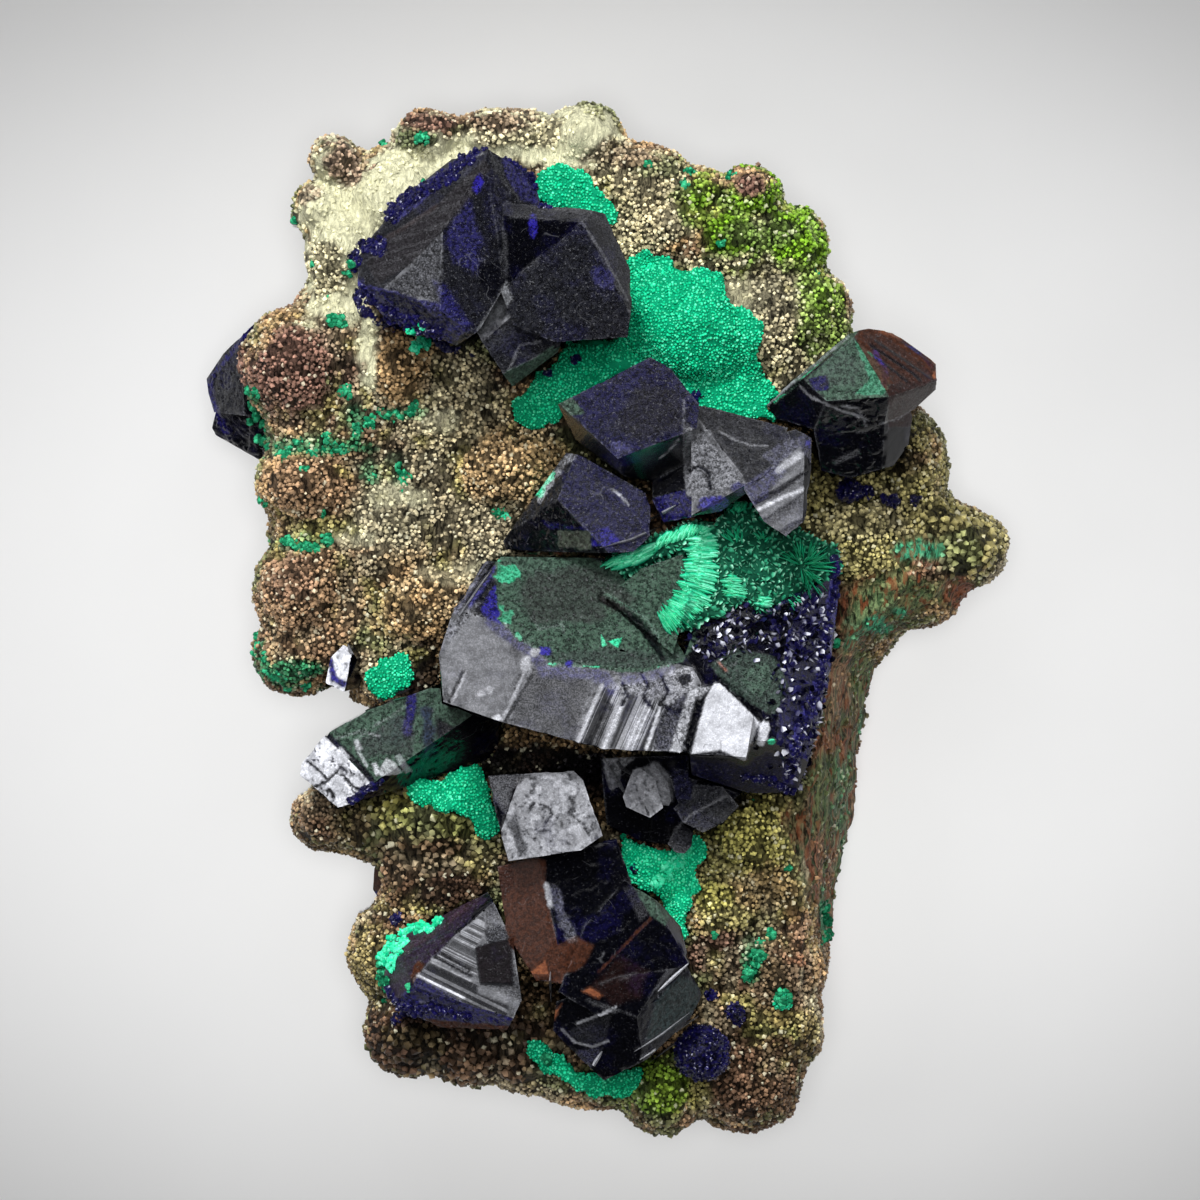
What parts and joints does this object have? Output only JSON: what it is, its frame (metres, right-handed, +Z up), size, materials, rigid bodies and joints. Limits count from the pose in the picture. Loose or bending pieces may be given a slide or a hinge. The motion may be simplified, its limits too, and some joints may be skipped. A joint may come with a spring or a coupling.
{
  "type": "azurite mineral specimen",
  "caption": "Hand specimen of dark blue azurite crystals with green malachite crusts on a lumpy drusy brown and cream rock matrix, lying on its back.",
  "frame": {"origin": "middle of the bounding box's floor, the level the specimen rests on", "axes": "+Z up out of the crystal-covered show face, +Y towards the specimen's upper end (the end with the mottled crystal cluster), +X to the right when the show face is looked at"},
  "size_m": [0.0708, 0.0906, 0.0368],
  "materials": {
    "azurite": "glassy to frosted, near-black deep blue crystal faces with grey etched and striated reflections",
    "malachite": "matt velvet and fibrous green",
    "drusy_rock": "fine drusy crystals, brown, olive and cream, dull with tiny glints"
  },
  "bodies": {
    "root": {"azurite_main_plate": "azurite", "azurite_top_cluster": "azurite", "azurite_upper_pair": "azurite", "azurite_middle_lozenge": "azurite", "azurite_right_block": "azurite", "azurite_left_edge": "azurite", "azurite_lower_left": "azurite", "azurite_small_oval": "azurite", "azurite_silver_block": "azurite", "azurite_small_group": "azurite", "azurite_bottom_cluster": "azurite", "azurite_edge_crystal": "azurite", "azurite_ball": "azurite", "azurite_bead_low": "azurite", "azurite_bead_right_1": "azurite", "azurite_bead_right_2": "azurite", "azurite_bead_right_3": "azurite", "malachite_spray": "malachite", "malachite_bead": "malachite", "malachite_crust_top": "malachite", "malachite_crust_centre": "malachite", "malachite_crust_left": "malachite", "malachite_crust_lower_left": "malachite", "malachite_crust_lower_right": "malachite", "malachite_crust_bottom": "malachite", "matrix": "drusy_rock"}
  },
  "joints": []
}
